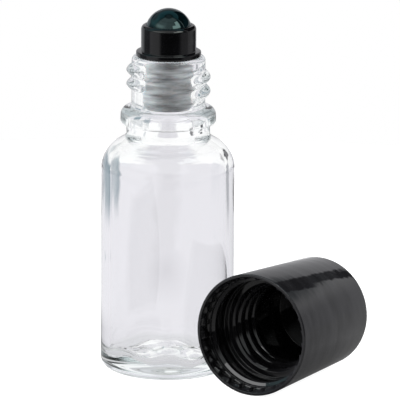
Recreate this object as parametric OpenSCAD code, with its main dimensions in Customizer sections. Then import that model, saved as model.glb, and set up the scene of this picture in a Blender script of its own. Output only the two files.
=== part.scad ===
// Roll on bottle: a glass bottle with a ball applicator, and its screw cap lying beside it
// The row stands on z = 0 with the axis of the bottle on the z axis

/* [Glass body] */
// Outer diameter of the body
body_d = 28.2; // [24:0.1:34]
// Height of the glass from the table to the rim of the neck
glass_h = 67.5; // [60:0.5:90]
// Thickness of the side wall
glass_wall = 1.9; // [1.2:0.1:2.6]
// Rounding where the body meets the table
heel_r = 2.5; // [1.5:0.1:3.5]
// Thickness of the glass at the edge of the floor
floor_t = 3.2; // [2.6:0.1:5]
// Rounding between the inner wall and the floor
floor_r = 3; // [1:0.1:4]
// Rise of the inner floor at its centre
floor_rise = 1.6; // [0.4:0.1:2.4]
// Depth of the hollow under the base
push_up = 1.3; // [0.4:0.1:1.8]
// Width of the flat ring that the bottle stands on
foot_w = 1.6; // [0.8:0.1:3]
// Rounding of the shoulder
shoulder_r = 6.3; // [3:0.1:7]
// Slope of the shoulder below the neck, in degrees
shoulder_slope = 31.3; // [20:0.1:45]

/* [Glass neck] */
// Length of the neck from its rim down to the shoulder
neck_len = 17.2; // [16.5:0.1:22]
// Outer diameter of the neck between collar and shoulder
neck_d = 17.6; // [16.6:0.1:18.6]
// Rounding between neck and shoulder
neck_flare_r = 1.1; // [0.5:0.1:2]
// Outer diameter of the collar
collar_d = 20.1; // [19:0.1:21]
// Height of the collar
collar_h = 3.5; // [2.4:0.1:4]
// Distance from the rim down to the underside of the collar
collar_drop = 14.4; // [13.8:0.1:15.5]
// Rounding of the upper edge of the collar
collar_top_r = 1.7; // [0.5:0.1:1.9]
// Rounding of the lower edge of the collar
collar_low_r = 0.6; // [0.2:0.1:0.9]
// Outer diameter of the threaded part of the neck
finish_d = 15.5; // [15:0.1:16]
// Rounding of the rim
finish_edge_r = 0.8; // [0.3:0.1:1]
// Bore of the neck
bore_d = 11; // [10.6:0.1:11.6]
// Rounding between the bore and the inside of the shoulder
bore_flare_r = 3; // [1:0.1:4]
// Outer diameter of the glass thread
thread_d = 17.7; // [17.2:0.1:18]
// Rise of the thread in one turn
thread_pitch = 3; // [2.6:0.1:3.4]
// Width of the thread at its foot
thread_w = 2; // [1.4:0.1:2.2]
// Turns of the thread
thread_turns = 2; // [1.5:0.1:2.2]
// Distance from the rim down to the upper end of the thread
thread_drop = 2.2; // [1.8:0.1:3]
// Direction in which the thread starts, in degrees
thread_start = -60; // [-180:5:180]

/* [Ball and housing] */
// Diameter of the ball
ball_d = 9.9; // [9:0.1:10.2]
// Running clearance all round the ball
ball_clearance = 0.05; // [0.02:0.01:0.1]
// Depth of the centre of the ball below the lip of the housing
ball_drop = 1.5; // [1.2:0.1:2]
// Outer diameter of the housing
housing_d = 11.6; // [11.4:0.1:12.4]
// Height of the housing above its flange
housing_h = 5.6; // [4.6:0.1:6]
// Rounding of the upper edge of the housing
housing_edge_r = 0.5; // [0.2:0.05:0.5]
// Diameter of the flange
flange_d = 13.7; // [13:0.1:14.4]
// Thickness of the flange
flange_t = 1.1; // [0.8:0.1:1.6]
// Rounding of the outer edges of the flange
flange_edge_r = 0.2; // [0.1:0.05:0.35]
// Outer diameter of the spigot below the flange
spigot_d = 8.8; // [8.4:0.1:9.2]
// Length of the spigot below the flange
spigot_len = 4.4; // [3:0.1:6]
// Bore that feeds the ball
feed_d = 6; // [4.6:0.1:7]

/* [Neck plug] */
// Outer diameter of the plug between its ribs
plug_d = 10.8; // [10.2:0.1:10.8]
// Length of the plug below the rim of the glass
plug_len = 11.2; // [9:0.1:13]
// Number of sealing ribs
rib_count = 4; // [2:1:4]
// Height of one rib along the neck
rib_w = 0.6; // [0.4:0.1:1]
// Distance from the lower end of the plug to the middle of its first rib
rib_inset = 2; // [1.6:0.1:2.6]
// Distance from one rib to the next
rib_pitch = 1.9; // [1.5:0.1:2]
// Overlap of a pressed or snapped fit
press = 0.02; // [0.01:0.01:0.04]
// Rounding of the lower edge of the plug
plug_edge_r = 0.6; // [0.2:0.1:0.8]

/* [Cap shell] */
// Outer diameter of the cap at its mouth
mouth_d = 25.9; // [25:0.1:28]
// Outer diameter of the cap at its closed end
end_d = 23.2; // [22.6:0.1:25]
// Length of the cap
cap_len = 31; // [30:0.1:34]
// Thickness of the side wall
cap_wall = 1.2; // [0.9:0.05:1.3]
// Thickness of the closed end
cap_end_t = 1.2; // [1:0.1:2]
// Rounding of the edge of the closed end
cap_edge_r = 1.9; // [0.8:0.1:2.4]
// Rounding of the rim of the mouth
rim_r = 0.25; // [0.1:0.05:0.3]
// Thickness of the wall at the mouth
lip_t = 0.7; // [0.6:0.05:0.9]
// Depth of the thin-walled mouth
lip_depth = 3.2; // [2.8:0.1:4]
// Number of ratchet teeth inside the mouth
tooth_count = 28; // [18:1:32]
// Height of a ratchet tooth
tooth_h = 0.65; // [0.3:0.05:0.7]
// Length of a ratchet tooth along the cap
tooth_len = 2.2; // [1:0.1:2.3]
// Depth of the teeth behind the rim
tooth_inset = 0.7; // [0.3:0.1:0.9]
// Height of the guide ridge above the inner wall
ridge_h = 0.7; // [0.3:0.05:0.8]
// Width of the guide ridge at its top
ridge_w = 1.1; // [0.6:0.1:1.4]
// Depth of the middle of the guide ridge behind the rim
ridge_depth = 4.6; // [4.3:0.1:5]

/* [Threaded insert] */
// Space between the tube of the insert and the shell where they come closest
insert_gap = 0.15; // [0.1:0.05:0.3]
// Thickness of the end of the insert
insert_end_t = 1; // [0.8:0.1:1.6]
// Clearance between the neck thread and the thread of the insert
thread_clearance = 0.25; // [0.15:0.05:0.3]
// Thickness of the flange round the recess in the mouth of the insert
recess_wall = 0.6; // [0.5:0.05:0.9]
// Depth of that recess
recess_depth = 1.3; // [0.8:0.1:2]
// Length of the flange that holds the mouth of the insert in the shell
insert_flange_w = 2.5; // [2.2:0.1:3.4]
// Bevel where the recess meets the threaded bore
insert_bevel = 0.5; // [0.2:0.1:0.6]
// Turns of the thread in the insert
insert_turns = 3; // [2:0.5:3.5]
// Direction in which that thread starts, in degrees
insert_start = 90; // [-180:5:180]
// Space between the closed insert and the collar of the neck
collar_gap = 0.8; // [0.6:0.1:2]
// Space between the closed insert and the top of the ball
ball_gap = 0.5; // [0.2:0.1:0.8]
// Inner diameter of the rib that seals the ball when the cap is on
seal_d = 6; // [4.8:0.1:7]
// Thickness of the sealing rib
seal_w = 0.6; // [0.4:0.1:0.8]

/* [Cap beside the bottle] */
// Space between the cap and the bottle where they pass each other
rest_gap = 0.3; // [0.2:0.1:20]
// Distance that the mouth lies ahead of the axis of the bottle
mouth_ahead = 11.5; // [0:0.5:20]

/* [Hidden] */
// Facets of a full circle
$fn = 96;
// How far a cut runs past the face that it opens
overrun = 0.5;
// How deep an added ridge or thread is rooted in its wall
bite = 0.3;
// Colours
glass_colour = [0.86, 0.88, 0.92, 0.35];
plug_colour = [0.72, 0.72, 0.72];
black_colour = [0.06, 0.06, 0.065];
ball_colour = [0.36, 0.42, 0.42];

// Glass, radii and heights
body_r = body_d / 2;
neck_r = neck_d / 2;
collar_r = collar_d / 2;
finish_r = finish_d / 2;
bore_r = bore_d / 2;
thread_r = thread_d / 2;
// Direction of the normal of the sloping shoulder, measured up from the horizontal
shoulder_lift = 90 - shoulder_slope;
neck_foot_z = glass_h - neck_len;
collar_low_z = glass_h - collar_drop;
collar_top_z = collar_low_z + collar_h;
// Point where the rounded shoulder runs into its slope
slope_start_r = body_r - shoulder_r + shoulder_r * cos(shoulder_lift);
slope_start_z = neck_foot_z - (slope_start_r - neck_r) * tan(shoulder_slope);
shoulder_z = slope_start_z - shoulder_r * sin(shoulder_lift);
// The inside runs one wall thickness within the outside
inner_r = body_r - glass_wall;
inner_shoulder_r = shoulder_r - glass_wall;
inner_start_r = slope_start_r - glass_wall * cos(shoulder_lift);
inner_start_z = slope_start_z - glass_wall * sin(shoulder_lift);
// Radius and sphere of the hollow under the base, and of the risen floor
hollow_r = body_r - heel_r - foot_w;
hollow_sphere_r = (hollow_r * hollow_r + push_up * push_up) / (2 * push_up);
rise_r = inner_r - floor_r;
rise_sphere_r = (rise_r * rise_r + floor_rise * floor_rise) / (2 * floor_rise);

// Ball and housing
ball_r = ball_d / 2;
housing_r = housing_d / 2;
flange_r = flange_d / 2;
spigot_r = spigot_d / 2;
flange_top_z = glass_h + flange_t;
lip_z = flange_top_z + housing_h;
ball_z = lip_z - ball_drop;

// Neck plug
plug_r = plug_d / 2;
plug_low_z = glass_h - plug_len;
rib_r = bore_r + press;

// Cap
mouth_r = mouth_d / 2;
end_r = end_d / 2;
cap_lean = atan((mouth_r - end_r) / cap_len);
seal_r = seal_d / 2;
// Height of the rim of the mouth above the table when the cap is screwed on
closed_z = ball_z + ball_r + ball_gap + insert_end_t + cap_end_t - cap_len;
// Depth of the mouth of the insert behind the rim of the shell
insert_depth = collar_top_z + collar_gap - closed_z;
insert_end_z = cap_len - cap_end_t;
insert_floor_z = insert_end_z - insert_end_t;
// The tube and the recess of the insert follow the inside of the shell
insert_r = min(inside_r(insert_end_z), inside_r(insert_depth)) - insert_gap;
recess_r = inside_r(insert_depth) - recess_wall;
insert_bore_r = thread_r + thread_clearance;
insert_crest_r = finish_r + 2 * thread_clearance;
// The turns of the insert are narrower than those of the neck, to pass between them
insert_thread_w = thread_pitch - thread_w + thread_clearance;
// Length of the sealing rib, which just touches the ball of a closed bottle
seal_len = ball_gap + ball_r - sqrt(ball_r * ball_r - seal_r * seal_r);
// The threaded bore begins behind the recess and its bevel
insert_bore_z = insert_depth + recess_depth + insert_bevel;
// Depths of the two ridges of the shell that hold the tube of the insert
hold_shares = [0.4, 0.7];
hold_depths = [for (share = hold_shares) insert_depth + share * (insert_end_z - insert_depth)];
cap_x = body_r + rest_gap + side_r(mouth_ahead) / cos(cap_lean);

// Height at which a slope that starts at [r, z] meets a fillet of radius f on a wall of radius w
function fillet_z(r, z, w, f) =
    z + (r - w - f + f * cos(shoulder_lift)) * tan(shoulder_slope) + f * sin(shoulder_lift);

// Outer radius of the cap at depth z
function side_r(z) = mouth_r - z * tan(cap_lean);

// Inner radius of the cap at depth z
function inside_r(z) = side_r(z) - cap_wall;

// Radius of the centre of an edge rounding of radius e at depth z
function edge_centre_r(z, e) = side_r(z) - e / cos(cap_lean);

// Section of a thread, half an ellipse that grows from below the face of its wall.
// side is 1 for a thread outside its wall and -1 for one inside it.
function thread_section(wall_r, growth, width, side) =
    [for (a = [-90:30:90]) [wall_r + side * (growth * cos(a) - bite), width / 2 * sin(a)]];

// Height of a thread at the share s of its run: it rises out of the wall and sinks into it again
function thread_rise(s, fade) = min(1, s / fade, (1 - s) / fade);

// The part of a flat outline right of the axis
module right_half(low, high, reach) {
    intersection() {
        children();
        translate([0, low]) square([reach, high - low]);
    }
}

// Rounded shoulder, slope and fillet up to a wall of radius w, from the height low
module shoulder_outline(low, centre_r, round_r, start_r, start_z, w, f) {
    top = fillet_z(start_r, start_z, w, f);
    translate([centre_r, shoulder_z]) circle(r = round_r);
    difference() {
        polygon([
            [0, low], [centre_r + round_r, low], [centre_r + round_r, shoulder_z], [centre_r, shoulder_z],
            [start_r, start_z],
            [w + f - f * cos(shoulder_lift), top - f * sin(shoulder_lift)],
            [w + f, top], [w, top], [0, top]
        ]);
        translate([w + f, top]) circle(r = f);
    }
}

// Outside of the glass, right half
module glass_outside() {
    shoulder_outline(heel_r, body_r - shoulder_r, shoulder_r, slope_start_r, slope_start_z,
        neck_r, neck_flare_r);
    square([body_r - heel_r, heel_r]);
    translate([body_r - heel_r, heel_r]) circle(r = heel_r);
    translate([0, neck_foot_z]) square([neck_r, collar_low_z + collar_low_r - neck_foot_z]);
    translate([0, collar_low_z]) square([collar_r - collar_low_r, collar_low_r]);
    translate([collar_r - collar_low_r, collar_low_z + collar_low_r]) circle(r = collar_low_r);
    translate([0, collar_low_z + collar_low_r])
        square([collar_r, collar_h - collar_low_r - collar_top_r]);
    translate([collar_r - collar_top_r, collar_top_z - collar_top_r]) circle(r = collar_top_r);
    translate([0, collar_low_z + collar_low_r])
        square([collar_r - collar_top_r, collar_h - collar_low_r]);
    translate([0, collar_low_z]) square([finish_r, glass_h - finish_edge_r - collar_low_z]);
    translate([0, collar_low_z]) square([finish_r - finish_edge_r, glass_h - collar_low_z]);
    translate([finish_r - finish_edge_r, glass_h - finish_edge_r]) circle(r = finish_edge_r);
}

// Inside of the glass, right half, with the floor risen at its centre
module glass_inside() {
    difference() {
        union() {
            shoulder_outline(floor_t + floor_r, body_r - shoulder_r, inner_shoulder_r,
                inner_start_r, inner_start_z, bore_r, bore_flare_r);
            translate([0, floor_t]) square([inner_r - floor_r, floor_r]);
            translate([inner_r - floor_r, floor_t + floor_r]) circle(r = floor_r);
        }
        translate([0, floor_t + floor_rise - rise_sphere_r]) circle(r = rise_sphere_r, $fn = 4 * $fn);
    }
    translate([0, shoulder_z]) square([bore_r, glass_h + overrun - shoulder_z]);
}

// A thread swept along its helix, with its ends sunk into the wall
module thread(wall_r, crest_r, width, turns, start_z, start_angle, side) {
    growth = abs(crest_r - wall_r) + bite;
    sunk = bite / 2;
    fade = 1 / (6 * turns);
    steps = round(24 * turns);
    count = len(thread_section(wall_r, growth, width, side));
    points = [
        for (i = [0:steps])
            let (
                rise = thread_rise(i / steps, fade),
                angle = start_angle + 360 * turns * i / steps,
                line = thread_section(wall_r, sunk + rise * (growth - sunk), width * (1 + rise) / 2, side)
            )
            for (j = [0:count - 1])
                let (p = line[side > 0 ? j : count - 1 - j])
                [p.x * cos(angle), p.x * sin(angle), start_z + thread_pitch * turns * i / steps + p.y]
    ];
    sides = [
        for (i = [0:steps - 1], j = [0:count - 1])
            let (a = i * count + j, b = i * count + (j + 1) % count)
            each [[a, b, b + count], [a, b + count, a + count]]
    ];
    ends = [
        [for (j = [count - 1:-1:0]) j],
        [for (j = [0:count - 1]) steps * count + j]
    ];
    polyhedron(points = points, faces = concat(sides, ends), convexity = 6);
}

module glass_bottle() {
    color(glass_colour) {
        rotate_extrude()
            right_half(0, glass_h, body_r)
                difference() {
                    glass_outside();
                    glass_inside();
                    translate([0, push_up - hollow_sphere_r]) circle(r = hollow_sphere_r, $fn = 4 * $fn);
                }
        thread(finish_r, thread_r, thread_w, thread_turns,
            glass_h - thread_drop - thread_pitch * thread_turns, thread_start, 1);
    }
}

// One sealing rib of the plug, its middle at height z
module plug_rib(z) {
    translate([0, z - rib_w / 2]) square([rib_r, rib_w]);
}

module neck_plug() {
    color(plug_colour)
        rotate_extrude()
            difference() {
                union() {
                    translate([0, plug_low_z + plug_edge_r]) square([plug_r, plug_len - plug_edge_r]);
                    translate([0, plug_low_z]) square([plug_r - plug_edge_r, plug_edge_r]);
                    right_half(plug_low_z, glass_h, plug_r)
                        translate([plug_r - plug_edge_r, plug_low_z + plug_edge_r]) circle(r = plug_edge_r);
                    for (i = [0:rib_count - 1])
                        plug_rib(plug_low_z + rib_inset + i * rib_pitch);
                }
                translate([0, plug_low_z - overrun]) square([spigot_r - press, plug_len + 2 * overrun]);
            }
}

// Half outline of the flange with its rounded edges
module flange_outline() {
    translate([0, glass_h]) square([flange_r - flange_edge_r, flange_t]);
    translate([0, glass_h + flange_edge_r]) square([flange_r, flange_t - 2 * flange_edge_r]);
    translate([flange_r - flange_edge_r, glass_h + flange_edge_r]) circle(r = flange_edge_r);
    translate([flange_r - flange_edge_r, flange_top_z - flange_edge_r]) circle(r = flange_edge_r);
}

module ball_housing() {
    color(black_colour)
        rotate_extrude()
            right_half(glass_h - spigot_len, lip_z, flange_r)
                difference() {
                    union() {
                        flange_outline();
                        translate([0, glass_h]) square([housing_r, flange_t + housing_h - housing_edge_r]);
                        translate([0, glass_h]) square([housing_r - housing_edge_r, flange_t + housing_h]);
                        translate([housing_r - housing_edge_r, lip_z - housing_edge_r])
                            circle(r = housing_edge_r);
                        translate([0, glass_h - spigot_len]) square([spigot_r, spigot_len]);
                    }
                    translate([0, ball_z]) circle(r = ball_r + ball_clearance);
                    translate([0, glass_h - spigot_len - overrun])
                        square([feed_d / 2, ball_z - glass_h + spigot_len + overrun]);
                }
}

module roller_ball() {
    color(ball_colour)
        translate([0, 0, ball_z]) sphere(r = ball_r);
}

// Puts a cap piece, drawn with its rim at z = 0, on its side on the table
module lying() {
    translate([cap_x, -mouth_ahead, mouth_r * cos(cap_lean)])
        rotate([-(90 + cap_lean), 0, 0])
            children();
}

// Ring of ratchet teeth, each a ramp that ends in a step
module teeth() {
    root_r = mouth_r - lip_t;
    step = 360 / tooth_count;
    translate([0, 0, tooth_inset])
        linear_extrude(tooth_len)
            difference() {
                circle(r = root_r + bite / 2);
                polygon([
                    for (k = [0:tooth_count - 1])
                        each [
                            root_r * [cos(-k * step), sin(-k * step)],
                            (root_r - tooth_h) * [cos(-(k + 1) * step), sin(-(k + 1) * step)]
                        ]
                ]);
            }
}

// Half outline of a ridge inside the cap, crest_r at its top
module ridge(z, crest_r, top_w) {
    foot_r = inside_r(z) + bite;
    polygon([
        [crest_r, z - top_w / 2],
        [crest_r, z + top_w / 2],
        [foot_r, z + top_w / 2 + (foot_r - crest_r) / 2],
        [foot_r, z - top_w / 2 - (foot_r - crest_r) / 2]
    ]);
}

// Half outline of the outside of the cap, with rounded rim and end
module shell_outside() {
    rim_x = edge_centre_r(rim_r, rim_r);
    end_x = edge_centre_r(cap_len - cap_edge_r, cap_edge_r);
    polygon([
        [0, 0], [rim_x, 0],
        [rim_x + rim_r * cos(cap_lean), rim_r + rim_r * sin(cap_lean)],
        [end_x + cap_edge_r * cos(cap_lean), cap_len - cap_edge_r + cap_edge_r * sin(cap_lean)],
        [end_x, cap_len], [0, cap_len]
    ]);
    translate([rim_x, rim_r]) circle(r = rim_r);
    translate([end_x, cap_len - cap_edge_r]) circle(r = cap_edge_r);
}

module cap_shell() {
    color(black_colour)
        lying() {
            rotate_extrude()
                union() {
                    difference() {
                        shell_outside();
                        polygon([
                            [0, -overrun], [mouth_r - lip_t, -overrun], [mouth_r - lip_t, lip_depth],
                            [inside_r(lip_depth), lip_depth], [inside_r(insert_end_z), insert_end_z],
                            [0, insert_end_z]
                        ]);
                    }
                    ridge(ridge_depth, inside_r(ridge_depth) - ridge_h, ridge_w);
                    for (z = hold_depths)
                        ridge(z, insert_r - press, ridge_w);
                }
            teeth();
        }
}

// Half outline of the insert: its tube, and the flange that fills the shell at its mouth
module insert_outside() {
    flange_end = insert_depth + insert_flange_w;
    polygon([
        [0, insert_depth], [inside_r(insert_depth) + press, insert_depth],
        [inside_r(flange_end) + press, flange_end], [insert_r, flange_end + insert_bevel],
        [insert_r, insert_end_z], [0, insert_end_z]
    ]);
}

module cap_insert() {
    recess_end = insert_depth + recess_depth;
    color(black_colour)
        lying() {
            rotate_extrude()
                difference() {
                    insert_outside();
                    difference() {
                        polygon([
                            [0, insert_depth - overrun], [recess_r, insert_depth - overrun],
                            [recess_r, recess_end], [insert_bore_r + insert_bevel, recess_end],
                            [insert_bore_r, insert_bore_z], [insert_bore_r, insert_floor_z],
                            [0, insert_floor_z]
                        ]);
                        translate([seal_r, insert_floor_z - seal_len]) square([seal_w, seal_len + overrun]);
                    }
                }
            thread(insert_bore_r, insert_crest_r, insert_thread_w, insert_turns,
                insert_bore_z + insert_thread_w / 2, insert_start, -1);
        }
}

glass_bottle();
neck_plug();
ball_housing();
roller_ball();
cap_shell();
cap_insert();
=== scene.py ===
# Roll on bottle: clear glass, a ball in a black housing, and the screw cap lying beside it
import bpy, bmesh, math
from mathutils import Matrix, Vector, noise


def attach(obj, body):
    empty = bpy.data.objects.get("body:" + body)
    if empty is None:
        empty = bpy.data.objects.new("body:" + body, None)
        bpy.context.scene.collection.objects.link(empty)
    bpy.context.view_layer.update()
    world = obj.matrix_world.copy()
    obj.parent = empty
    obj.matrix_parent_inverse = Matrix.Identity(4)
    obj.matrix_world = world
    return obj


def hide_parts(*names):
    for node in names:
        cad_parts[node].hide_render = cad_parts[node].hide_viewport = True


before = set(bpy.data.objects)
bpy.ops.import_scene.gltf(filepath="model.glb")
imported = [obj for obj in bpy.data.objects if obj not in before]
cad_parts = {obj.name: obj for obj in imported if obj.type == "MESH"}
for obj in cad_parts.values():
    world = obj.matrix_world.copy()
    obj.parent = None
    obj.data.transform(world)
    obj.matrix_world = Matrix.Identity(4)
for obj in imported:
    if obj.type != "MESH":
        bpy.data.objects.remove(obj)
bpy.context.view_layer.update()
mm = 0.001
touch = 0.01  # mm within which two heights or radii count as the same
onWall = 0.02  # mm within which a point counts as lying on a wall
weld = 0.0005  # mm within which doubled points are merged
print("frame loaded:", ", ".join(sorted(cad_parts)))


# Materials: colours are sRGB hex values

def linearColour(hexText):
    channels = [int(hexText[i:i + 2], 16) / 255 for i in (1, 3, 5)]
    return [c / 12.92 if c <= 0.04045 else ((c + 0.055) / 1.055) ** 2.4 for c in channels] + [1.0]


def addNode(tree, kind, settings=None, inputs=None, stops=()):
    # an input takes a value or a link, and a colour ramp takes its stops as positions with colours
    node = tree.nodes.new(kind)
    for name, value in (settings or {}).items():
        setattr(node, name, value)
    for name, value in (inputs or {}).items():
        if isinstance(value, bpy.types.NodeSocket):
            tree.links.new(value, node.inputs[name])
        else:
            node.inputs[name].default_value = value
    if stops:
        ramp = node.color_ramp.elements
        while len(ramp) < len(stops):
            ramp.new(0.5)
        for element, (position, colour) in zip(ramp, stops):
            element.position = position
            element.color = colour
    return node


def newMaterial(name):
    material = bpy.data.materials.new(name)
    material.use_nodes = True
    material.node_tree.nodes.clear()
    return material, material.node_tree


# Clear soda-lime glass, blown in a mould: water clear through one wall, a breath of blue-green where
# the eye looks along a wall, and a faint unevenness that makes the reflections swim
moulded = dict(tint="#FFFFFF", ior=1.52, roughness=0.0, deepTint="#9FC4C6", density=6.0, shadowTint="#EEF2F3",
               waveMm=7.0, waveDepthMm=0.012)


def clearGlass():
    material, tree = newMaterial("sodaLimeGlassMoulded")
    place = addNode(tree, "ShaderNodeTexCoord")
    wave = addNode(tree, "ShaderNodeTexNoise", {},
                   {"Vector": place.outputs["Object"], "Scale": 1 / (moulded["waveMm"] * mm),
                    "Detail": 1.0, "Roughness": 0.4})
    swim = addNode(tree, "ShaderNodeBump", {},
                   {"Height": wave.outputs[0], "Distance": moulded["waveDepthMm"] * mm, "Strength": 1.0})
    glassSurface = addNode(tree, "ShaderNodeBsdfPrincipled", {"distribution": "GGX"},
                           {"Base Color": linearColour(moulded["tint"]), "Roughness": moulded["roughness"],
                            "IOR": moulded["ior"], "Transmission Weight": 1.0,
                            "Normal": swim.outputs["Normal"]})
    # clear glass lets lamplight through, so its shadow is faint
    passing = addNode(tree, "ShaderNodeBsdfTransparent", {}, {"Color": linearColour(moulded["shadowTint"])})
    path = addNode(tree, "ShaderNodeLightPath")
    mixed = addNode(tree, "ShaderNodeMixShader", {}, {0: path.outputs["Is Shadow Ray"],
                                                      1: glassSurface.outputs[0], 2: passing.outputs[0]})
    deep = addNode(tree, "ShaderNodeVolumeAbsorption", {},
                   {"Color": linearColour(moulded["deepTint"]), "Density": moulded["density"]})
    addNode(tree, "ShaderNodeOutputMaterial", {},
            {"Surface": mixed.outputs[0], "Volume": deep.outputs[0]})
    return material


# Smoky blue-green glass ball, ground and polished: so deep that it reads as dark, with a hard bright
# gloss and a cold cast; fine swirls of the melt show as slightly lighter clouds
polished = dict(deep="#02080A", cloud="#061115", cloudFrom=0.35, cloudTo=0.70, cloudMm=2.6, ior=1.56,
                gloss="#D9FFFF", roughness=0.03)


def ballGlass():
    material, tree = newMaterial("smokyGlassPolished")
    place = addNode(tree, "ShaderNodeTexCoord")
    melt = addNode(tree, "ShaderNodeTexNoise", {},
                   {"Vector": place.outputs["Object"], "Scale": 1 / (polished["cloudMm"] * mm),
                    "Detail": 2.0, "Distortion": 0.8})
    cast = addNode(tree, "ShaderNodeValToRGB", {}, {"Fac": melt.outputs[0]},
                   ((polished["cloudFrom"], linearColour(polished["deep"])),
                    (polished["cloudTo"], linearColour(polished["cloud"]))))
    glassSurface = addNode(tree, "ShaderNodeBsdfPrincipled", {},
                           {"Base Color": cast.outputs[0], "Roughness": polished["roughness"],
                            "IOR": polished["ior"], "Specular Tint": linearColour(polished["gloss"])})
    addNode(tree, "ShaderNodeOutputMaterial", {}, {"Surface": glassSurface.outputs[0]})
    return material


# Natural low-density polyethylene, moulded: milky grey, waxy, lets some light through, with flat streaks
# that are drawn coarser than the real ones, so that they show
milky = dict(light="#9FA0A1", dark="#414143", streakFrom=0.30, streakTo=0.70, streakMm=1.3,
             streakShape=(0.25, 0.25, 1.5), ior=1.51, roughness=0.36, wax=0.2, waxDepthMm=0.4)


def naturalPlastic():
    material, tree = newMaterial("naturalPolyethyleneMoulded")
    place = addNode(tree, "ShaderNodeTexCoord")
    squeezed = addNode(tree, "ShaderNodeMapping", {},
                       {"Vector": place.outputs["Object"], "Scale": milky["streakShape"]})
    streaks = addNode(tree, "ShaderNodeTexNoise", {},
                      {"Vector": squeezed.outputs[0], "Scale": 1 / (milky["streakMm"] * mm), "Detail": 3.0})
    tone = addNode(tree, "ShaderNodeValToRGB", {}, {"Fac": streaks.outputs[0]},
                   ((milky["streakFrom"], linearColour(milky["dark"])),
                    (milky["streakTo"], linearColour(milky["light"]))))
    waxy = addNode(tree, "ShaderNodeBsdfPrincipled", {},
                   {"Base Color": tone.outputs[0], "Roughness": milky["roughness"], "IOR": milky["ior"],
                    "Subsurface Weight": milky["wax"], "Subsurface Scale": milky["waxDepthMm"] * mm})
    addNode(tree, "ShaderNodeOutputMaterial", {}, {"Surface": waxy.outputs[0]})
    return material


# Black polypropylene, injection moulded in a polished mould: near-black with a sharp gloss, and faint
# flow waves across the length that make the edges of the reflections ripple
glossy = dict(roughness=0.035, smoothest=0.8, roughest=1.3, ior=1.5, rippleMm=2.8, rippleDepthMm=0.065,
              grainMm=0.35, grainDepthMm=0.0006, flowFrom=0.35, flowTo=0.65)
capFinish = dict(base="#111113", streak="#1B1B1D", flowShape=(0.35, 1.0, 0.35), ripple=1.0)
housingFinish = dict(base="#060607", streak="#0A0A0C", flowShape=(0.25, 0.25, 1.0), ripple=0.3)


def blackPlastic(name, finish):
    material, tree = newMaterial(name)
    place = addNode(tree, "ShaderNodeTexCoord")
    squeezed = addNode(tree, "ShaderNodeMapping", {},
                       {"Vector": place.outputs["Object"], "Scale": finish["flowShape"]})
    waves = addNode(tree, "ShaderNodeTexNoise", {},
                    {"Vector": squeezed.outputs[0], "Scale": 1 / (glossy["rippleMm"] * mm),
                     "Detail": 1.5, "Roughness": 0.45})
    ripples = addNode(tree, "ShaderNodeBump", {},
                      {"Height": waves.outputs[0],
                       "Distance": glossy["rippleDepthMm"] * mm * finish["ripple"]})
    grain = addNode(tree, "ShaderNodeTexNoise", {},
                    {"Vector": place.outputs["Object"], "Scale": 1 / (glossy["grainMm"] * mm), "Detail": 2.0})
    skin = addNode(tree, "ShaderNodeBump", {},
                   {"Height": grain.outputs[0], "Distance": glossy["grainDepthMm"] * mm,
                    "Normal": ripples.outputs["Normal"]})
    shine = addNode(tree, "ShaderNodeMapRange", {},
                    {"Value": grain.outputs[0], "To Min": glossy["roughness"] * glossy["smoothest"],
                     "To Max": glossy["roughness"] * glossy["roughest"]})
    flow = addNode(tree, "ShaderNodeValToRGB", {}, {"Fac": waves.outputs[0]},
                   ((glossy["flowFrom"], linearColour(finish["base"])),
                    (glossy["flowTo"], linearColour(finish["streak"]))))
    plastic = addNode(tree, "ShaderNodeBsdfPrincipled", {},
                      {"Base Color": flow.outputs[0], "Roughness": shine.outputs[0],
                       "IOR": glossy["ior"], "Normal": skin.outputs["Normal"]})
    addNode(tree, "ShaderNodeOutputMaterial", {}, {"Surface": plastic.outputs[0]})
    return material


mouldedGlass = clearGlass()
rollerGlass = ballGlass()
milkyPlastic = naturalPlastic()
capPlastic = blackPlastic("blackPolypropyleneCap", capFinish)
housingPlastic = blackPlastic("blackPolypropyleneHousing", housingFinish)
print("materials made")


# Turned shapes: an outline of corners (radius, height, rounding) in mm, spun round the z axis. In the
# dictionaries of the pieces a name in R is a radius from the axis, and one in Round is a rounding
arc = dict(stepMm=0.35, fewest=4, most=22)  # how finely a rounded corner is cut


def drawOutline(corners, closed):
    shape = bmesh.new()
    points = [shape.verts.new((radius * mm, 0, height * mm)) for radius, height, rounding in corners]
    for first, second in zip(points, points[1:] + points[:1] if closed else points[1:]):
        shape.edges.new((first, second))
    for i, (radius, height, rounding) in enumerate(corners):
        if rounding:
            before = Vector(corners[i - 1][:2])
            here = Vector((radius, height))
            after = Vector(corners[(i + 1) % len(corners)][:2])
            bend = (here - before).angle(after - here)
            cuts = min(arc["most"], max(arc["fewest"], round(rounding * bend / arc["stepMm"])))
            bmesh.ops.bevel(shape, geom=[points[i]], offset=rounding * mm * math.tan(bend / 2),
                            offset_type="OFFSET", segments=cuts, profile=0.5, affect="VERTICES", material=-1)
    return shape


def divideWall(shape, low, high, radius, gap):
    # cuts the straight stretches of the outline on this radius into short ones
    for edge in shape.edges[:]:
        ends = [v.co / mm for v in edge.verts]
        if all(abs(p.x - radius) < onWall and low - touch <= p.z <= high + touch for p in ends):
            cuts = int(abs(ends[0].z - ends[1].z) / gap)
            if cuts:
                bmesh.ops.subdivide_edges(shape, edges=[edge], cuts=cuts)


def spinOutline(shape, steps):
    bmesh.ops.spin(shape, geom=shape.verts[:] + shape.edges[:], cent=(0, 0, 0), axis=(0, 0, 1),
                   angle=2 * math.pi, steps=steps, use_merge=True, use_duplicate=False)
    bmesh.ops.remove_doubles(shape, verts=shape.verts, dist=weld * mm)
    bmesh.ops.recalc_face_normals(shape, faces=shape.faces)
    return shape


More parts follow.
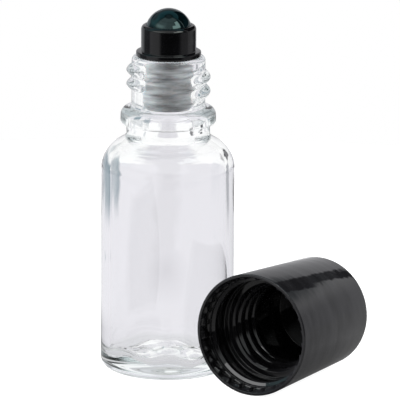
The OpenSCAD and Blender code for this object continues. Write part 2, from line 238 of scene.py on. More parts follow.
def makeObject(shape, name, material):
    mesh = bpy.data.meshes.new(name)
    shape.to_mesh(mesh)
    shape.free()
    mesh.materials.append(material)
    made = bpy.data.objects.new(name, mesh)
    bpy.context.scene.collection.objects.link(made)
    return made


def finishPiece(shape, name, material, place=None):
    if place is not None:
        bmesh.ops.transform(shape, matrix=place, verts=shape.verts)
    for face in shape.faces:
        face.smooth = True
    return makeObject(shape, name, material)


def widen(vertex, share):
    vertex.co.x *= share
    vertex.co.y *= share


def eased(share):
    # from 0 to 1 with a soft start and end
    share = min(1.0, max(0.0, share))
    return share * share * (3 - 2 * share)


def threadHeight(x, y, z, thread):
    # height of the thread above its wall at a point, 0 away from it
    angle = math.degrees(math.atan2(y, x))
    best = 0.0
    for lap in range(int(thread["turns"]) + 1):
        run = ((angle - thread["start"]) % 360) / 360 + lap
        off = (z - thread["low"] - thread["pitch"] * run) / (thread["width"] / 2)
        if run <= thread["turns"] and abs(off) < 1:
            ends = eased(min(run, thread["turns"] - run) * 360 / thread["fade"])
            best = max(best, ends * (1 - off * off) ** thread["power"])
    # glass threads run out towards the two seams of the mould, each of which rules its own half
    for seam in thread.get("seams", ()):
        away = abs((angle - seam + 180) % 360 - 180)
        if away < 90:
            rise = eased((away - thread["seamFrom"]) / (thread["seamTo"] - thread["seamFrom"]))
            best *= 1 - thread["seamDrop"] * (1 - rise)
    return best * thread["height"]


def addThread(shape, wallRadius, side, thread):
    # side is 1 for a thread outside its wall and -1 for one inside it
    for v in shape.verts:
        x, y, z = v.co / mm
        radius = math.hypot(x, y)
        if abs(radius - wallRadius) < onWall:
            lift = threadHeight(x, y, z, thread)
            if lift:
                widen(v, (radius + side * lift) / radius)


# Glass bottle: outside from the hollow under the base up to the rim, then down the inside
glass = dict(pushUp=1.3, hollowBendR=5.085, hollowBendRound=37.0, hollowR=10.0, footRound=1.5,
             bodyR=14.1, heelRound=2.5, slopeFoot=47.078, slopeDegrees=31.3, shoulderRound=6.3,
             neckR=8.8, flareRound=1.1, collarR=10.05, collarLow=53.1, collarTop=56.6,
             underCollarRound=0.25, collarLowRound=0.6, collarTopRound=1.7, finishR=7.75, finishFootRound=0.4,
             height=67.5, rimRound=0.8, boreR=5.5, boreEdgeRound=0.6, boreFlareRound=3.0,
             innerR=12.2, innerSlopeFoot=46.01, innerShoulderRound=4.4, floor=3.2, floorRound=2.7,
             rise=1.6, riseR=9.2, riseFootRound=1.6, riseBendR=4.739, riseBendRound=24.0,
             threadStep=0.11, wallStep=1.2, steps=240,
             thread=dict(low=59.3, pitch=3.0, turns=2.0, start=-60.0, width=3.0, height=1.1, fade=60.0,
                         power=1.6, seams=(-60.0, 120.0), seamFrom=34.0, seamTo=70.0, seamDrop=0.72),
             # a lean of the floor is its depth, its number of waves round the floor and its turn
             uneven=dict(low=2.0, high=50.0, swellMm=6.0, swellFlat=0.6, wallReach=0.5, wallDepth=0.05,
                         floorTop=9.0, floorFade=6.0, floorDepth=0.30, swellR=3.0, leanR=8.0,
                         leans=((0.45, 3, 0.6), (0.30, 7, 2.0)), rippleMm=2.2, rippleDepth=0.12))


def loosenInside(shape):
    # the inside of blown glass is never quite true: its wall swells a little, its floor leans and ripples
    u, innerR = glass["uneven"], glass["innerR"]
    for v in shape.verts:
        spot = v.co / mm
        radius = math.hypot(spot.x, spot.y)
        if not (u["low"] < spot.z < u["high"] and radius < innerR + touch):
            continue
        swell = noise.noise(Vector((spot.x, spot.y, spot.z * u["swellFlat"])) / u["swellMm"])
        if spot.z < u["floorTop"]:
            around = math.atan2(spot.y, spot.x)
            lean = sum(depth * math.sin(waves * around + turned) for depth, waves, turned in u["leans"])
            fade = 1 - max(0.0, spot.z - u["floorFade"]) / (u["floorTop"] - u["floorFade"])
            share = min(1.0, radius / u["leanR"]) ** 2 * fade
            # a ripple with one of half its size and depth
            ripple = noise.noise(spot / u["rippleMm"]) + noise.noise(spot / (u["rippleMm"] / 2)) / 2
            v.co.z += (lean * share + u["floorDepth"] * swell * min(1.0, radius / u["swellR"])
                       + u["rippleDepth"] * ripple) * mm
        elif radius > innerR - u["wallReach"]:
            widen(v, 1 + u["wallDepth"] * swell / radius)


def makeBottle():
    g = glass
    climb = math.tan(math.radians(g["slopeDegrees"]))
    neckFoot = g["slopeFoot"] + (g["bodyR"] - g["neckR"]) * climb
    boreFoot = g["innerSlopeFoot"] + (g["innerR"] - g["boreR"]) * climb
    riseTop = g["floor"] + g["rise"]
    corners = [(0, g["pushUp"], 0),
               (g["hollowBendR"], g["pushUp"], g["hollowBendRound"]),
               (g["hollowR"], 0, g["footRound"]),
               (g["bodyR"], 0, g["heelRound"]),
               (g["bodyR"], g["slopeFoot"], g["shoulderRound"]),
               (g["neckR"], neckFoot, g["flareRound"]),
               (g["neckR"], g["collarLow"], g["underCollarRound"]),
               (g["collarR"], g["collarLow"], g["collarLowRound"]),
               (g["collarR"], g["collarTop"], g["collarTopRound"]),
               (g["finishR"], g["collarTop"], g["finishFootRound"]),
               (g["finishR"], g["height"], g["rimRound"]),
               (g["boreR"], g["height"], g["boreEdgeRound"]),
               (g["boreR"], boreFoot, g["boreFlareRound"]),
               (g["innerR"], g["innerSlopeFoot"], g["innerShoulderRound"]),
               (g["innerR"], g["floor"], g["floorRound"]),
               (g["riseR"], g["floor"], g["riseFootRound"]),
               (g["riseBendR"], riseTop, g["riseBendRound"]),
               (0, riseTop, 0)]
    shape = drawOutline(corners, False)
    divideWall(shape, g["collarTop"], g["height"], g["finishR"], g["threadStep"])
    divideWall(shape, g["floor"], g["slopeFoot"], g["innerR"], g["wallStep"])
    spinOutline(shape, g["steps"])
    addThread(shape, g["finishR"], 1, g["thread"])
    loosenInside(shape)
    return finishPiece(shape, "bottleGlass", mouldedGlass)


bottleGlass = makeBottle()
print("bottle:", len(bottleGlass.data.polygons), "faces")


# Neck plug: a tube with sealing ribs and a tapered lead, pressed into the bore
plug = dict(outerR=5.4, innerR=4.38, low=56.3, high=67.5, edgeRound=0.1, boreEdgeRound=0.05,
            tipR=4.5, lead=1.9, leadRound=0.8, leadBend=(0.35, 0.75), leadBendRound=1.0,
            ribs=(58.3, 60.2, 62.1, 64.0), ribR=5.48, ribWidth=0.6, ribSlope=0.08, steps=128)


def makePlug():
    p = plug
    bendIn, bendUp = p["leadBend"]
    corners = [(p["innerR"], p["high"], p["edgeRound"]),
               (p["innerR"], p["low"], p["boreEdgeRound"]),
               (p["tipR"], p["low"], p["edgeRound"]),
               (p["outerR"] - bendIn, p["low"] + bendUp, p["leadBendRound"]),
               (p["outerR"], p["low"] + p["lead"], p["leadRound"])]
    for z in p["ribs"]:
        half = p["ribWidth"] / 2
        corners += [(p["outerR"], z - half, 0), (p["ribR"], z - half + p["ribSlope"], 0),
                    (p["ribR"], z + half - p["ribSlope"], 0), (p["outerR"], z + half, 0)]
    corners += [(p["outerR"], p["high"], p["edgeRound"])]
    return finishPiece(spinOutline(drawOutline(corners, True), p["steps"]), "neckPlug", milkyPlastic)


neckPlug = makePlug()
print("plug made")


# Ball housing: a cup with a flange and a spigot, snapped round the ball
housing = dict(outerR=5.8, lip=74.2, lipRound=0.9, flangeR=6.85, flangeLow=67.5, flangeTop=68.6,
               flangeRound=0.2, flangeFilletRound=0.12, spigotR=4.36, spigotLow=63.1, spigotRound=0.3,
               spigotFilletRound=0.1, feedR=3.0, socketR=5.0, socketShare=0.995, ballZ=72.7, ballR=4.95,
               steps=160)


def makeHousing():
    h = housing
    feedZ = h["ballZ"] - math.sqrt(h["socketR"] ** 2 - h["feedR"] ** 2)
    lipR = math.sqrt(h["socketR"] ** 2 - (h["lip"] - h["ballZ"]) ** 2)
    # the corner from which the socket is rounded lies where the tangents at its two ends meet, and its
    # rounding stops just short of these ends
    low = math.atan2(feedZ - h["ballZ"], h["feedR"])
    high = math.atan2(h["lip"] - h["ballZ"], lipR)
    reach = h["socketR"] / math.cos((high - low) / 2)
    middle = (high + low) / 2
    corners = [(lipR, h["lip"], 0),
               (h["outerR"], h["lip"], h["lipRound"]),
               (h["outerR"], h["flangeTop"], h["flangeFilletRound"]),
               (h["flangeR"], h["flangeTop"], h["flangeRound"]),
               (h["flangeR"], h["flangeLow"], h["flangeRound"]),
               (h["spigotR"], h["flangeLow"], h["spigotFilletRound"]),
               (h["spigotR"], h["spigotLow"], h["spigotRound"]),
               (h["feedR"], h["spigotLow"], h["spigotRound"]),
               (h["feedR"], feedZ, 0),
               (reach * math.cos(middle), h["ballZ"] + reach * math.sin(middle),
                h["socketR"] * h["socketShare"])]
    return finishPiece(spinOutline(drawOutline(corners, True), h["steps"]), "ballHousing", housingPlastic)


def makeBall():
    shape = bmesh.new()
    bmesh.ops.create_icosphere(shape, subdivisions=6, radius=housing["ballR"] * mm,
                               matrix=Matrix.Translation((0, 0, housing["ballZ"] * mm)))
    return finishPiece(shape, "rollerBall", rollerGlass)


ballHousing = makeHousing()
rollerBall = makeBall()
print("housing and ball made")


# Screw cap, drawn with its mouth at height 0, then laid on its side with the mouth towards the viewer
cap = dict(mouthR=12.95, endR=11.6, length=31.0, wall=1.2, endWall=1.2, endRound=1.9, rimRound=0.25,
           filletRound=0.1, endFilletRound=0.3, lipR=12.25, lipDepth=3.2, lipRound=0.15,
           ridgeDepth=4.6, ridgeHeight=0.7, ridgeWidth=1.1, ridgeRound=0.15, holdDepths=(16.75, 23.28),
           holdR=10.28, teeth=28, toothHeight=0.65, toothLow=0.7, toothHigh=2.9, toothEnd=0.06, toothSteps=8,
           x=26.861, y=-11.5, z=12.9377, tilt=2.4936)
capSteps = cap["teeth"] * cap["toothSteps"]
lying = (Matrix.Translation(Vector((cap["x"], cap["y"], cap["z"])) * mm)
         @ Matrix.Rotation(math.radians(-90 - cap["tilt"]), 4, "X"))


def insideR(depth):
    return cap["mouthR"] - depth * (cap["mouthR"] - cap["endR"]) / cap["length"] - cap["wall"]


def addRidge(corners, depth, topR):
    foot, half, drop = insideR(depth), cap["ridgeWidth"] / 2, insideR(depth) - topR
    corners += [(foot, depth - half - drop / 2, cap["filletRound"]), (topR, depth - half, cap["ridgeRound"]),
                (topR, depth + half, cap["ridgeRound"]), (foot, depth + half + drop / 2, cap["filletRound"])]


def cutTeeth(shape):
    # each tooth is a ramp that ends in a step
    lastRamp = 1 - 1 / cap["toothSteps"]
    for v in shape.verts:
        x, y, z = v.co / mm
        if abs(math.hypot(x, y) - cap["lipR"]) < touch and cap["toothLow"] < z < cap["toothHigh"]:
            ramp = (-math.degrees(math.atan2(y, x)) * cap["teeth"] / 360) % 1.0
            if ramp > 0.999:  # the foot of a ramp, a hair before its place
                ramp = 0.0
            widen(v, 1 - cap["toothHeight"] * ramp / lastRamp / cap["lipR"])


def makeCapShell():
    c = cap
    inEnd = c["length"] - c["endWall"]
    corners = [(0, c["length"], 0), (c["endR"], c["length"], c["endRound"]),
               (c["mouthR"], 0, c["rimRound"]), (c["lipR"], 0, c["lipRound"])]
    for end in (c["toothLow"], c["toothHigh"]):
        corners += [(c["lipR"], end - c["toothEnd"], 0), (c["lipR"], end + c["toothEnd"], 0)]
    corners += [(c["lipR"], c["lipDepth"], 0), (insideR(c["lipDepth"]), c["lipDepth"], c["filletRound"])]
    addRidge(corners, c["ridgeDepth"], insideR(c["ridgeDepth"]) - c["ridgeHeight"])
    for depth in c["holdDepths"]:
        addRidge(corners, depth, c["holdR"])
    corners += [(insideR(inEnd), inEnd, c["endFilletRound"]), (0, inEnd, 0)]
    shape = spinOutline(drawOutline(corners, False), capSteps)
    cutTeeth(shape)
    return finishPiece(shape, "capShell", capPlastic, lying)


# Threaded insert, pressed into the shell, with a rib at its floor that seals the ball
insert = dict(depth=8.05, recessR=10.8, recessEnd=9.35, boreR=9.1, bevel=0.5, outerR=10.302, flangeEnd=10.55,
              press=0.01, end=29.8, floor=28.8, sealR=3.0, sealWidth=0.6, sealLength=1.51, edgeRound=0.15,
              filletRound=0.1, floorFilletRound=0.2, threadStep=0.16,
              thread=dict(low=10.475, pitch=3.0, turns=3.0, start=90.0, width=1.7, height=0.85, fade=60.0,
                          power=1.0))


def makeInsert():
    i = insert
    boreStart = i["recessEnd"] + i["bevel"]
    sealOuterR, sealTop = i["sealR"] + i["sealWidth"], i["floor"] - i["sealLength"]
    corners = [(0, i["end"], 0),
               (i["outerR"], i["end"], 0),
               (i["outerR"], i["flangeEnd"] + i["bevel"], 0),
               (insideR(i["flangeEnd"]) + i["press"], i["flangeEnd"], 0),
               (insideR(i["depth"]) + i["press"], i["depth"], 0),
               (i["recessR"], i["depth"], i["edgeRound"]),
               (i["recessR"], i["recessEnd"], i["edgeRound"]),
               (i["boreR"] + i["bevel"], i["recessEnd"], i["filletRound"]),
               (i["boreR"], boreStart, i["filletRound"]),
               (i["boreR"], i["floor"], i["floorFilletRound"]),
               (sealOuterR, i["floor"], i["filletRound"]),
               (sealOuterR, sealTop, i["edgeRound"]),
               (i["sealR"], sealTop, i["edgeRound"]),
               (i["sealR"], i["floor"], i["filletRound"]),
               (0, i["floor"], 0)]
    shape = drawOutline(corners, False)
    divideWall(shape, boreStart, i["floor"], i["boreR"], i["threadStep"])
    spinOutline(shape, capSteps)
    addThread(shape, i["boreR"], -1, i["thread"])
    return finishPiece(shape, "capInsert", capPlastic, lying)


capShell = makeCapShell()
capInsert = makeInsert()
print("cap made")

for piece, node, body, slot in ((bottleGlass, "glass_bottle", "bottle", "clear_glass"),
                                (neckPlug, "neck_plug", "bottle", "natural_plastic"),
                                (ballHousing, "ball_housing", "bottle", "black_plastic"),
                                (rollerBall, "roller_ball", "ball", "ball_glass"),
                                (capShell, "cap_shell", "cap", "black_plastic"),
                                (capInsert, "cap_insert", "cap", "black_plastic")):
    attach(piece, body)
    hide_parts(node)
print("pieces ride on their bodies")


# Camera: far off with a long lens. Its azimuth is also the front of the studio
view = dict(place=(0.6174, -1.0693, 0.3339), azimuth=30.0, yaw=0.0055, pitch=0.23653, roll=0.007,
            lens=540.0, sensor=36.0, clipEnd=10.0)
cameraData = bpy.data.cameras.new("studioCamera")
cameraData.lens = view["lens"]
cameraData.sensor_width = view["sensor"]
cameraData.clip_end = view["clipEnd"]
camera = bpy.data.objects.new("studioCamera", cameraData)
camera.matrix_world = (Matrix.Translation(view["place"])
                       @ Matrix.Rotation(math.radians(view["azimuth"]) - view["yaw"], 4, "Z")
                       @ Matrix.Rotation(math.pi / 2 - view["pitch"], 4, "X")
                       @ Matrix.Rotation(view["roll"], 4, "Z"))
bpy.context.scene.collection.objects.link(camera)
bpy.context.scene.camera = camera
print("camera set")

# Studio: soft-edged patches round the table, laid over each other. Each is its azimuth, half width and
# softness in degrees, its height, half height and softness, and its linear colour. Azimuth 0 is the front of
# the studio, and positive on the right of who looks from there. Gloss mirrors the first list, with heights
# in degrees, and the other heights are in mm. Glass looks out at the backdrop, whose patches are painted
# light and shade, and at a strip close behind the bottle on its left, whose patches are painted shade that
# darkens the left edge of the glass. A softbox round the ball is lit where its patches are.
studio = dict(
    mirrored=dict(
        plain=(0.02, 0.02, 0.02),
        left=(-62, 26, 9, -10, 26, 4, (0.56, 0.56, 0.57)),
        leftRear=(-113, 27, 6, -5, 30, 6, (0.10, 0.11, 0.11)),
        tealTop=(180, 95, 10, 56, 18, 6, (0.13, 0.34, 0.40)),
        tealLeft=(-104, 26, 10, 36, 16, 8, (0.26, 0.52, 0.54)),
        frontHigh=(8, 32, 7, 38, 18, 6, (0.74, 0.78, 0.78)),
        frontTop=(0, 75, 12, 66, 11, 5, (0.80, 0.84, 0.85)),
        frontHighLeft=(-45, 30, 9, 40, 16, 7, (0.95, 1.0, 1.0)),
        right=(70, 20, 10, -10, 18, 5, (0.28, 0.28, 0.29)),
        rightRear=(116, 30, 1.2, 13, 19.5, 1.5, (0.45, 0.45, 0.46)),
        rightRearHigh=(116, 30, 1.2, 34, 12, 12, (0.98, 0.98, 0.99)),
        backHigh=(180, 70, 10, 36, 10, 6, (0.20, 0.22, 0.23)),
        rightGap=(149, 9.5, 1.0, 32, 6.5, 2, (0.02, 0.02, 0.02)),
        leftBack=(-143, 21, 4, -4, 20, 4, (0.58, 0.60, 0.62)),
        rightBack=(153, 7, 2, -10, 16, 3, (0.58, 0.58, 0.60)),
        back=(180, 22, 1.5, 10, 19, 4, (0.58, 0.58, 0.60)),
        backLow=(170, 16, 1.2, 8, 11.5, 1.5, (0.58, 0.58, 0.60)),
        top=(0, 400, 1, 90, 11, 4, (0.18, 0.20, 0.21))),
    backdrop=dict(
        plain=(0.845, 0.835, 0.88),
        # patches of painted light and shade that only the view through glass shows: a painted highlight
        # brighter than white above, and darker painted shade in an arch, a column, a mark and a line
        paintedWindowHighlight=(0, 400, 1, 124, 100, 1.5, (1.08, 1.08, 1.08)),
        paintedArchShade=(180, 6.5, 1.5, 38, 14, 3, (0.77, 0.76, 0.80)),
        paintedColumnShade=(180, 2.6, 0.9, 14, 18, 2, (0.775, 0.765, 0.805)),
        paintedRightMarkShade=(147, 8, 1.5, 53, 13, 2, (0.04, 0.04, 0.05)),
        paintedRightLineShade=(133.5, 5.5, 1.5, 25, 16, 3, (0.40, 0.41, 0.44)),
        behindCamera=(0, 8, 3, 60, 26, 6, (0.35, 0.36, 0.38))),
    # the strip's patches are painted shade: where it glows dark blue-grey it darkens the left edge of the
    # glass
    strip=dict(
        plain=(0.0, 0.0, 0.0),
        bar=(-135.5, 19.5, 1.5, 34.5, 10, 3.5, (1, 1, 1)),
        head=(-145, 5.0, 2.5, 54, 5, 4, (0.5, 0.5, 0.5)),
        gap=(-144.2, 3.8, 2, 20, 7, 4, (0.0, 0.0, 0.0)),
        speck=(-136, 2, 0.7, 15.3, 0.8, 0.6, (0.8, 0.8, 0.8))),
    softbox=dict(
        plain=(0.0, 0.0, 0.0),
        left=(-50, 22, 16, 101, 9, 7, (0.40, 0.40, 0.40)),
        glintFoot=(43, 21, 3, 101, 8, 3, (1, 1, 1)),
        glintHead=(53, 12, 4, 121, 16, 5, (1, 1, 1))))
white = (1, 1, 1, 1)
dimLight = 0.22  # strength of the world on dull surfaces, which the lamps light too
softboxLight = (3.7, 4.0, 3.8, 1)  # several times as bright as white


def softSpan(tree, value, half, soft):
    # 1 within half of zero, fading to 0 over twice the softness
    away = addNode(tree, "ShaderNodeMath", {"operation": "ABSOLUTE"}, {0: value})
    span = addNode(tree, "ShaderNodeMapRange", {"interpolation_type": "SMOOTHSTEP"},
                   {"Value": away.outputs[0], "From Min": half + soft, "From Max": half - soft})
    return span.outputs[0]


def layPatches(tree, azimuth, height, patches):
    laid = patches["plain"] + (1,)
    for name, patch in patches.items():
        if name == "plain":
            continue
        side, halfWidth, sideSoft, level, halfHeight, levelSoft, colour = patch
        aside = addNode(tree, "ShaderNodeMath", {"operation": "SUBTRACT"}, {0: azimuth, 1: side})
        wrapped = addNode(tree, "ShaderNodeMath", {"operation": "WRAP"},
                          {0: aside.outputs[0], 1: 180, 2: -180})
        above = addNode(tree, "ShaderNodeMath", {"operation": "SUBTRACT"}, {0: height, 1: level})
        cover = addNode(tree, "ShaderNodeMath", {"operation": "MULTIPLY"},
                        {0: softSpan(tree, wrapped.outputs[0], halfWidth, sideSoft),
                         1: softSpan(tree, above.outputs[0], halfHeight, levelSoft)})
        mix = addNode(tree, "ShaderNodeMix", {"data_type": "RGBA", "label": name},
                      {0: cover.outputs[0], 6: laid, 7: colour + (1,)})
        laid = mix.outputs[2]
    return laid


def faceFront(tree, direction):
    # turns a direction so that -Y is the front of the studio
    turned = addNode(tree, "ShaderNodeVectorRotate", {"rotation_type": "Z_AXIS"},
                     {"Vector": direction, "Angle": math.radians(-view["azimuth"])})
    return turned.outputs[0], addNode(tree, "ShaderNodeSeparateXYZ", {}, {0: turned.outputs[0]}).outputs


def findAzimuth(tree, axes):
    toFront = addNode(tree, "ShaderNodeMath", {"operation": "MULTIPLY"}, {0: axes["Y"], 1: -1.0})
    angle = addNode(tree, "ShaderNodeMath", {"operation": "ARCTAN2"}, {0: axes["X"], 1: toFront.outputs[0]})
    return addNode(tree, "ShaderNodeMath", {"operation": "DEGREES"}, {0: angle.outputs[0]}).outputs[0]


def splitRays(tree, plain, forGloss, forGlass, forCamera):
    # gloss, the view through glass and the camera each see their own shader, and all else the plain one
    path = addNode(tree, "ShaderNodeLightPath")
    shown = plain
    for ray, shader in (("Is Glossy Ray", forGloss), ("Is Transmission Ray", forGlass),
                        ("Is Camera Ray", forCamera)):
        shown = addNode(tree, "ShaderNodeMixShader", {},
                        {0: path.outputs[ray], 1: shown.outputs[0], 2: shader.outputs[0]})
    return shown.outputs[0]


def lightWorld():
    world = bpy.data.worlds.new("studioWorld")
    bpy.context.scene.world = world
    world.use_nodes = True
    tree = world.node_tree
    tree.nodes.clear()
    place = addNode(tree, "ShaderNodeTexCoord")
    turned, axes = faceFront(tree, place.outputs["Generated"])
    climb = addNode(tree, "ShaderNodeMath", {"operation": "ARCSINE"}, {0: axes["Z"]})
    elevation = addNode(tree, "ShaderNodeMath", {"operation": "DEGREES"}, {0: climb.outputs[0]})
    mirrored = layPatches(tree, findAzimuth(tree, axes), elevation.outputs[0], studio["mirrored"])
    dim = addNode(tree, "ShaderNodeBackground", {}, {"Color": white, "Strength": dimLight})
    gloss, through, seen = [addNode(tree, "ShaderNodeBackground", {}, {"Color": colour})
                            for colour in (mirrored, white, white)]
    addNode(tree, "ShaderNodeOutputWorld", {}, {"Surface": splitRays(tree, dim, gloss, through, seen)})


def stagePiece(name, shape, material):
    piece = makeObject(shape, name, material)
    return piece


# Round white paper on the table. Gloss mirrors it in greys that follow the distance from the bottle, in
# shares of reach, as painted shade that is darkest a little way out from the bottle, and pale where it lies
# behind on the left. Through glass it shows painted shade, darker a little towards the foot of the bottle
# and in a soft spot behind it. All lengths are in mm
paper = dict(radius=215, diffuse=(0.35, 0.35, 0.35, 1), glow=0.85, reach=200,
             near=((0.0, 0.68), (0.085, 0.68), (0.14, 0.14), (0.185, 0.18), (0.27, 0.41), (0.50, 0.45)),
             behindLean=-1.2, behindFrom=62, behindTo=90, behind=(0.84, 0.84, 0.86, 1),
             under=((0.055, (0.64, 0.64, 0.67, 1)), (0.08, (0.76, 0.76, 0.79, 1)),
                    (0.11, studio["backdrop"]["plain"] + (1,))),
             spotBack=88, spotWide=9, spotLong=32, spot=(0.70, 0.69, 0.73, 1))


def makeFloor():
    p = paper
    shape = bmesh.new()
    bmesh.ops.create_circle(shape, cap_ends=True, segments=96, radius=p["radius"] * mm)
    material, tree = newMaterial("whitePaper")
    place = addNode(tree, "ShaderNodeTexCoord")
    turned, axes = faceFront(tree, place.outputs["Object"])
    reach = addNode(tree, "ShaderNodeVectorMath", {"operation": "LENGTH"}, {0: place.outputs["Object"]})
    share = addNode(tree, "ShaderNodeMath", {"operation": "DIVIDE"},
                    {0: reach.outputs["Value"], 1: p["reach"] * mm})
    # painted shade that gloss sees on the paper, darker close round the bottle
    near = addNode(tree, "ShaderNodeValToRGB", {}, {"Fac": share.outputs[0]},
                   [(position, (level, level, level, 1)) for position, level in p["near"]])
    toLeft = addNode(tree, "ShaderNodeMath", {"operation": "MULTIPLY_ADD"},
                     {0: axes["X"], 1: p["behindLean"], 2: axes["Y"]})
    behind = addNode(tree, "ShaderNodeMapRange", {},
                     {"Value": toLeft.outputs[0], "From Min": p["behindFrom"] * mm,
                      "From Max": p["behindTo"] * mm})
    mirrored = addNode(tree, "ShaderNodeMix", {"data_type": "RGBA"},
                       {0: behind.outputs[0], 6: near.outputs[0], 7: p["behind"]})
    # painted shadow that the view through glass sees towards the foot of the bottle, and painted shade in a
    # soft spot behind it
    under = addNode(tree, "ShaderNodeValToRGB", {}, {"Fac": share.outputs[0]}, p["under"])
    spotPlace = addNode(tree, "ShaderNodeMapping", {"vector_type": "TEXTURE"},
                        {"Vector": turned, "Location": (0, p["spotBack"] * mm, 0),
                         "Scale": (p["spotWide"] * mm, p["spotLong"] * mm, 1)})
    spot = addNode(tree, "ShaderNodeTexGradient", {"gradient_type": "SPHERICAL"}, {0: spotPlace.outputs[0]})
    through = addNode(tree, "ShaderNodeMix", {"data_type": "RGBA"},
                      {0: spot.outputs[1], 6: under.outputs[0], 7: p["spot"]})
    diffuse = addNode(tree, "ShaderNodeBsdfDiffuse", {}, {"Color": p["diffuse"]})
    forGloss = addNode(tree, "ShaderNodeEmission", {}, {"Color": mirrored.outputs[2]})
    forGlass = addNode(tree, "ShaderNodeEmission", {}, {"Color": through.outputs[2]})
    glow = addNode(tree, "ShaderNodeEmission", {}, {"Color": white, "Strength": p["glow"]})
    lit = addNode(tree, "ShaderNodeAddShader", {}, {0: diffuse.outputs[0], 1: glow.outputs[0]})
    addNode(tree, "ShaderNodeOutputMaterial", {},
            {"Surface": splitRays(tree, diffuse, forGloss, forGlass, lit)})
    stagePiece("floor", shape, material)


# Cards round the table: radius in mm, first and last azimuth in degrees, foot and head in mm
cards = dict(backdrop=(105, 0, 360, 0.2, 200), strip=(45, -158, -112, 10, 66),
             flag=(40, 86, 158, 81, 128), softbox=(50, -95, 75, 86, 146))


def roundCard(name, material, gloss, glass):
    # an upright card with a step for each two degrees, which only gloss or the view through glass can see
    radius, first, last, low, high = cards[name]
    shape = bmesh.new()
    start = math.radians(view["azimuth"] - 90 + first)
    foot = shape.verts.new((radius * mm * math.cos(start), radius * mm * math.sin(start), low * mm))
    head = shape.verts.new((foot.co.x, foot.co.y, high * mm))
    edge = shape.edges.new((foot, head))
    bmesh.ops.spin(shape, geom=[foot, head, edge], cent=(0, 0, 0), axis=(0, 0, 1),
                   angle=math.radians(last - first), steps=max(12, round((last - first) / 2)),
                   use_duplicate=False)
    card = stagePiece(name, shape, material)
    card.visible_camera = False
    card.visible_diffuse = False
    card.visible_shadow = False
    card.visible_glossy = gloss
    card.visible_transmission = glass


def findWanderingPlace(tree, place, grainMm, asideBy, upBy):
    # azimuth in degrees and height in mm on a round card, led astray a little so that edges come out uneven
    turned, axes = faceFront(tree, place)
    wander = addNode(tree, "ShaderNodeTexNoise", {},
                     {"Vector": place, "Scale": 1 / (grainMm * mm), "Detail": 1.0})
    parts = addNode(tree, "ShaderNodeSeparateColor", {}, {0: wander.outputs["Color"]})
    astray = []
    for part, value, scale, by in ((parts.outputs[0], findAzimuth(tree, axes), 1.0, asideBy),
                                   (parts.outputs[1], axes["Z"], 1 / mm, upBy)):
        off = addNode(tree, "ShaderNodeMath", {"operation": "MULTIPLY_ADD"}, {0: part, 1: by, 2: -by / 2})
        moved = addNode(tree, "ShaderNodeMath", {"operation": "MULTIPLY_ADD"},
                        {0: value, 1: scale, 2: off.outputs[0]})
        astray.append(moved.outputs[0])
    return astray


def glowWhere(tree, cover, colour):
    # glows where it is covered and is clear elsewhere
    glow = addNode(tree, "ShaderNodeEmission", {}, {"Color": colour})
    clear = addNode(tree, "ShaderNodeBsdfTransparent")
    mixed = addNode(tree, "ShaderNodeMixShader", {}, {0: cover, 1: clear.outputs[0], 2: glow.outputs[0]})
    addNode(tree, "ShaderNodeOutputMaterial", {}, {"Surface": mixed.outputs[0]})


def makeBackdrop():
    # the backdrop glows with painted light and shade, which only the view through glass sees
    material, tree = newMaterial("paintedBackdrop")
    place = addNode(tree, "ShaderNodeTexCoord")
    azimuth, height = findWanderingPlace(tree, place.outputs["Object"], grainMm=7.0, asideBy=5.0, upBy=4.0)
    colour = layPatches(tree, azimuth, height, studio["backdrop"])
    glow = addNode(tree, "ShaderNodeEmission", {}, {"Color": colour})
    addNode(tree, "ShaderNodeOutputMaterial", {}, {"Surface": glow.outputs[0]})
    roundCard("backdrop", material, gloss=False, glass=True)


# darker and lighter streaks of the strip's painted shade
stripShade = dict(dark=(0.20, 0.27, 0.32, 1), light=(0.33, 0.40, 0.44, 1), darkAt=0.38, lightAt=0.62,
             streakMm=5.0, streakShape=(1, 1, 0.25))


def makeStrip():
    # glows dark blue-grey as painted shade seen through the glass, and is clear elsewhere
    material, tree = newMaterial("paintedShadeStrip")
    place = addNode(tree, "ShaderNodeTexCoord")
    azimuth, height = findWanderingPlace(tree, place.outputs["Object"], grainMm=6.0, asideBy=3.0, upBy=2.5)
    cover = layPatches(tree, azimuth, height, studio["strip"])
    squeezed = addNode(tree, "ShaderNodeMapping", {},
                       {"Vector": place.outputs["Object"], "Scale": stripShade["streakShape"]})
    streaks = addNode(tree, "ShaderNodeTexNoise", {},
                      {"Vector": squeezed.outputs[0], "Scale": 1 / (stripShade["streakMm"] * mm)})
    colour = addNode(tree, "ShaderNodeValToRGB", {}, {"Fac": streaks.outputs[0]},
                     ((stripShade["darkAt"], stripShade["dark"]), (stripShade["lightAt"], stripShade["light"])))
    glowWhere(tree, cover, colour.outputs[0])
    roundCard("strip", material, gloss=False, glass=True)


def makeFlag():
    # a small black card beside the ball, which darkens the right of its gloss
    material, tree = newMaterial("blackCard")
    dull = addNode(tree, "ShaderNodeBsdfDiffuse", {}, {"Color": (0, 0, 0, 1)})
    addNode(tree, "ShaderNodeOutputMaterial", {}, {"Surface": dull.outputs[0]})
    roundCard("flag", material, gloss=True, glass=False)


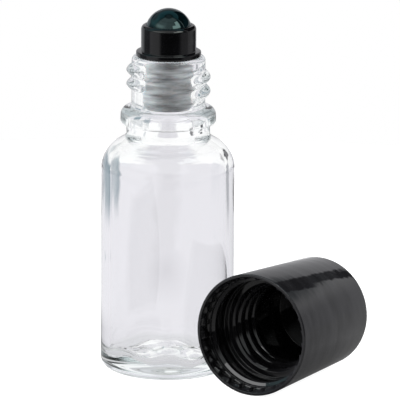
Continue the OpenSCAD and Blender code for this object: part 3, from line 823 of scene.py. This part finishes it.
def makeSoftbox():
    material, tree = newMaterial("softboxCloth")
    place = addNode(tree, "ShaderNodeTexCoord")
    turned, axes = faceFront(tree, place.outputs["Object"])
    height = addNode(tree, "ShaderNodeMath", {"operation": "DIVIDE"}, {0: axes["Z"], 1: mm})
    cover = layPatches(tree, findAzimuth(tree, axes), height.outputs[0], studio["softbox"])
    glowWhere(tree, cover, softboxLight)
    roundCard("softbox", material, gloss=True, glass=False)


# Lamps: lengths in metres. The one into the cap lights only the cap, whose gloss also mirrors it
lamps = dict(
    softLeft=dict(place=(-0.52, -0.30, 0.2), aim=(0.0, 0.0, 0.05), size=(0.3, 0.5), watts=14.0),
    softRight=dict(place=(0.52, 0.30, 0.2), aim=(0.0, 0.0, 0.05), size=(0.3, 0.5), watts=8.0),
    intoCap=dict(place=(-0.069, -0.370, 0.347), aim=(0.027, -0.012, 0.013), size=(0.5, 0.12), watts=0.6,
                 only=(capShell, capInsert)),
    softTop=dict(place=(0.1, 0.05, 0.8), aim=(0.01, 0.0, 0.0), size=(0.7, 0.7), watts=1.2))


def addLamp(name, place, aim, size, watts, only=()):
    data = bpy.data.lights.new(name, "AREA")
    data.shape = "RECTANGLE"
    data.size, data.size_y = size
    data.energy = watts
    lamp = bpy.data.objects.new(name, data)
    away = Vector(place) - Vector(aim)
    lamp.matrix_world = Matrix.Translation(place) @ away.to_track_quat("Z", "Y").to_matrix().to_4x4()
    lamp.visible_glossy = bool(only)
    lamp.visible_transmission = False
    lamp.visible_camera = False
    bpy.context.scene.collection.objects.link(lamp)
    if only:
        lit = bpy.data.collections.new(name)
        for piece in only:
            lit.objects.link(piece)
        lamp.light_linking.receiver_collection = lit


lightWorld()
makeFloor()
makeBackdrop()
makeStrip()
makeFlag()
makeSoftbox()
for name, lamp in lamps.items():
    addLamp(name, **lamp)
bpy.context.scene.view_settings.view_transform = "Standard"
bpy.context.scene.cycles.max_bounces = 24  # light goes round the collar many times before it leaves
bpy.context.scene.cycles.transmission_bounces = 24
bpy.context.scene.cycles.glossy_bounces = 16
print("studio made")
